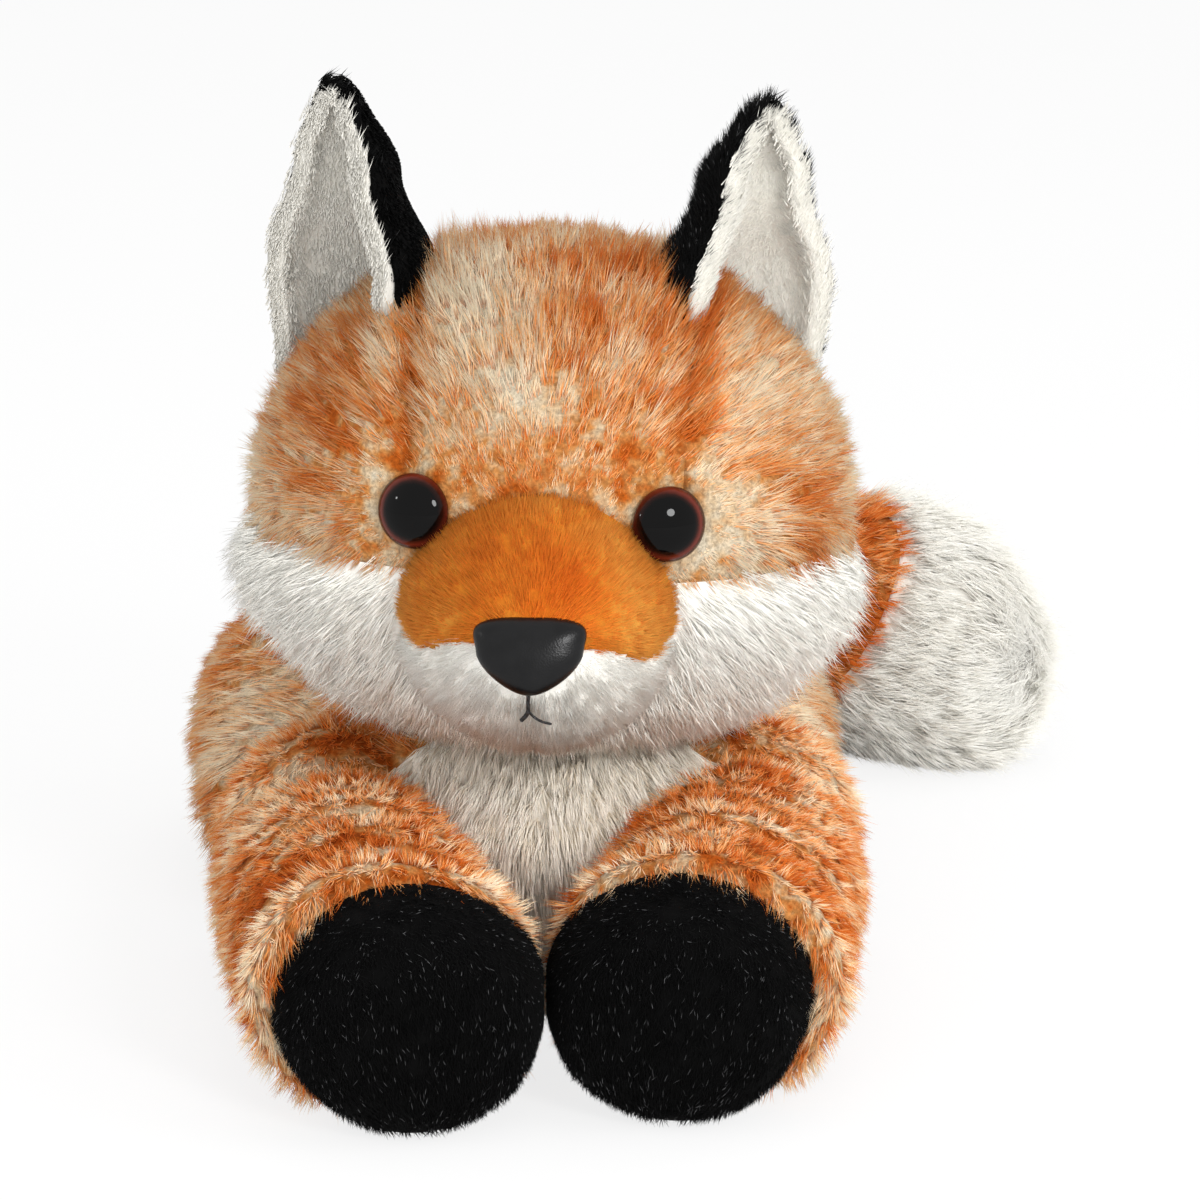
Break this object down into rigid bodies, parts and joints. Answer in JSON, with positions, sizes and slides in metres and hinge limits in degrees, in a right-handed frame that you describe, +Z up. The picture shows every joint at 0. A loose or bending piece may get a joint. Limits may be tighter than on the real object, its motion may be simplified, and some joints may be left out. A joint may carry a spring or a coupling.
{
  "type": "plush fox",
  "caption": "Lying long-pile plush fox with tall black ears, plastic eyes and nose, black paws stretched forward and a bushy white-tipped tail curled to one side.",
  "frame": {"origin": "on the floor, on the flat underside of the belly below the middle of the chest", "axes": "+Z up, +Y from nose to rump so the fox faces -Y, +X towards the fox's own left"},
  "size_m": [0.1969, 0.2995, 0.1865],
  "materials": {
    "mottled_plush": "long-pile plush, cream at the roots with orange and rust tips",
    "white_plush": "long-pile plush",
    "cream_plush": "long-pile plush",
    "black_plush": "dense plush with a slight shine",
    "orange_plush": "short velvety plush",
    "fibre_fill": "loose polyester fibre",
    "pellet_cloth": "thin woven cloth",
    "eye_plastic": "clear over a dark brown iris and a black pupil",
    "nose_plastic": "satin",
    "washer_plastic": "plain moulded",
    "black_thread": "embroidery thread"
  },
  "bodies": {
    "torso": {"chest_bib": "cream_plush", "belly_panel": "cream_plush", "back_panel_left": "mottled_plush", "back_panel_right": "mottled_plush", "body_stuffing": "fibre_fill", "pellet_bag": "pellet_cloth"},
    "neck": {"neck_stuffing": "fibre_fill"},
    "head": {"forehead_panel": "mottled_plush", "head_side_left": "mottled_plush", "head_side_right": "mottled_plush", "cheek_left": "white_plush", "cheek_right": "white_plush", "eye_left": "eye_plastic", "eye_right": "eye_plastic", "eye_washer_left": "washer_plastic", "eye_washer_right": "washer_plastic", "ear_back_left": "black_plush", "ear_back_right": "black_plush", "ear_lining_left": "white_plush", "ear_lining_right": "white_plush", "muzzle_top": "orange_plush", "muzzle_lower": "white_plush", "head_stuffing": "fibre_fill", "nose": "nose_plastic", "nose_washer": "washer_plastic", "mouth_stitch": "black_thread"},
    "front_leg_left": {"front_leg_left": "mottled_plush", "front_paw_left": "black_plush", "front_leg_stuffing_left": "fibre_fill"},
    "hind_leg_left": {"hind_leg_left": "mottled_plush", "hind_paw_left": "black_plush", "hind_leg_stuffing_left": "fibre_fill"},
    "front_leg_right": {"front_leg_right": "mottled_plush", "front_paw_right": "black_plush", "front_leg_stuffing_right": "fibre_fill"},
    "hind_leg_right": {"hind_leg_right": "mottled_plush", "hind_paw_right": "black_plush", "hind_leg_stuffing_right": "fibre_fill"},
    "tail": {"tail": "mottled_plush", "tail_tip": "white_plush", "tail_stuffing": "fibre_fill"}
  },
  "joints": [
    {"name": "head_turn", "type": "hinge", "parent": "torso", "child": "neck", "pos_m": [0, -0.025, 0.104], "axis": [0, 0, 1], "range_deg": [-20, 20], "stiffness_Nm_per_rad": 0.3},
    {"name": "head_nod", "type": "hinge", "parent": "neck", "child": "head", "pos_m": [0, -0.025, 0.104], "axis": [0.9912, -0.1323, 0], "range_deg": [-8, 8], "stiffness_Nm_per_rad": 1.5},
    {"name": "front_leg_left_splay", "type": "hinge", "parent": "torso", "child": "front_leg_left", "pos_m": [0.039, -0.012, 0.0245], "axis": [0, 0, 1], "range_deg": [0, 25]},
    {"name": "front_leg_right_splay", "type": "hinge", "parent": "torso", "child": "front_leg_right", "pos_m": [-0.043, -0.012, 0.0245], "axis": [0, 0, -1], "range_deg": [0, 25]},
    {"name": "hind_leg_left_splay", "type": "hinge", "parent": "torso", "child": "hind_leg_left", "pos_m": [0.036, 0.075, 0.0285], "axis": [0, 0, 1], "range_deg": [0, 20]},
    {"name": "hind_leg_right_splay", "type": "hinge", "parent": "torso", "child": "hind_leg_right", "pos_m": [-0.04, 0.075, 0.0285], "axis": [0, 0, -1], "range_deg": [0, 20]},
    {"name": "tail_swing", "type": "hinge", "parent": "torso", "child": "tail", "pos_m": [0.004, 0.112, 0.025], "axis": [0, 0, 1], "range_deg": [0, 40], "stiffness_Nm_per_rad": 0.15}
  ]
}
